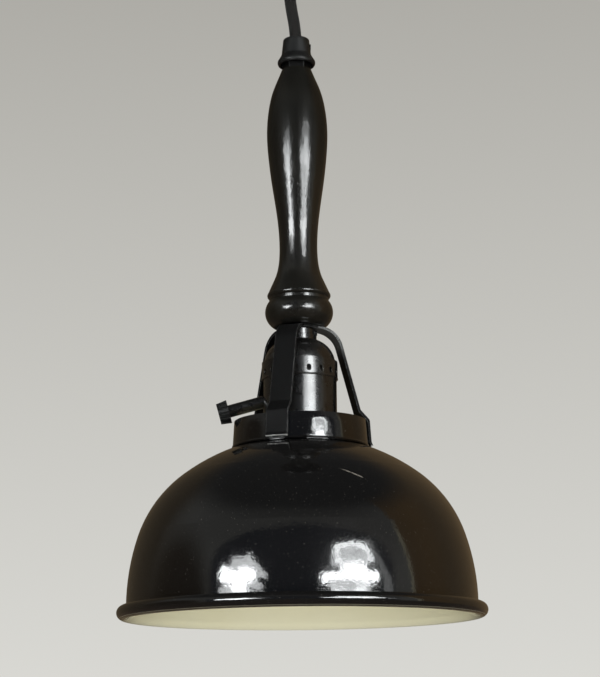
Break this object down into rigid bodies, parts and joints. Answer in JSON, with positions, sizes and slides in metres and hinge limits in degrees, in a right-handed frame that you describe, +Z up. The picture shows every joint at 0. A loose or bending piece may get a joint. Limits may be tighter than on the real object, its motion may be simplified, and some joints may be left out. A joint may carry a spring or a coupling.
{
  "type": "pendant ceiling light",
  "caption": "Hanging ceiling light: black enamelled dome shade on flat strips under a keyed lamp holder and a turned wooden handle, on a short cord from a canopy.",
  "frame": {"origin": "centre of the mounting bar's top face, in the plane of the ceiling", "axes": "+Z up into the ceiling, along the hanging lamp's axis; +X to the right and -Y towards someone who faces the lamp with its turn key on the left"},
  "size_m": [0.1648, 0.1648, 0.394],
  "materials": {
    "black_enamel": "gloss enamel outside, cream enamel inside",
    "black_steel": "satin black",
    "dark_wood": "turned, dark lacquer",
    "dark_bronze": "dark bronzed, semi gloss",
    "cord_cloth": "woven textile cover",
    "black_plastic": "moulded",
    "brass": "plain",
    "steel": "zinc plated",
    "insulator_board": "fibre board",
    "white_ceramic": "unglazed",
    "core_insulation": "plain",
    "bulb_glass": "frosted",
    "bulb_metal": "rolled",
    "black_glass": "vitrified",
    "clear_glass": "clear",
    "tungsten": "wire"
  },
  "bodies": {
    "ceiling_fitting": {"ceiling_canopy": "black_enamel", "mounting_bar": "steel", "canopy_screws": "steel", "canopy_gland": "black_plastic", "gland_nut": "black_plastic", "terminal_block": "white_ceramic", "terminal_barrels": "brass", "clamp_screws": "steel", "block_screw": "steel", "cord_tail": "cord_cloth", "live_core": "core_insulation", "neutral_core": "core_insulation"},
    "lamp": {"pendant_cord": "cord_cloth", "cord_grip": "black_plastic", "grip_screw": "black_steel", "lock_nut": "black_steel", "stem_tube": "steel", "handle": "dark_wood", "shade_carrier": "black_steel", "neck_screws": "black_steel", "fitter_collar": "black_enamel", "shade": "black_enamel", "cap_bushing": "dark_bronze", "bushing_screw": "dark_bronze", "socket_cap": "dark_bronze", "cap_liner": "insulator_board", "socket_shell": "dark_bronze", "shell_liner": "insulator_board", "interior_block": "white_ceramic", "terminal_screws": "brass", "screw_shell": "brass", "centre_contact": "brass", "live_lead": "core_insulation", "neutral_lead": "core_insulation"},
    "turn_key": {"switch_rotor": "white_ceramic", "key_shaft": "dark_bronze", "key_knob": "black_plastic"},
    "bulb": {"bulb_glass": "bulb_glass", "bulb_base": "bulb_metal", "bulb_insulator": "black_glass", "bulb_tip": "bulb_metal", "bulb_stem": "clear_glass", "bulb_filament": "tungsten"}
  },
  "joints": [
    {"name": "pendant_swing", "type": "hinge", "parent": "ceiling_fitting", "child": "lamp", "pos_m": [0, 0, -0.038], "axis": [0, 1, 0], "range_deg": [-20, 20]},
    {"name": "key_turn", "type": "hinge", "parent": "lamp", "child": "turn_key", "pos_m": [-0.0168, 0, -0.2958], "axis": [-0.9659, 0, -0.2588], "continuous": true},
    {"name": "bulb_out", "type": "slide", "parent": "lamp", "child": "bulb", "axis": [0, 0, -1], "range_m": [0, 0.026]}
  ]
}
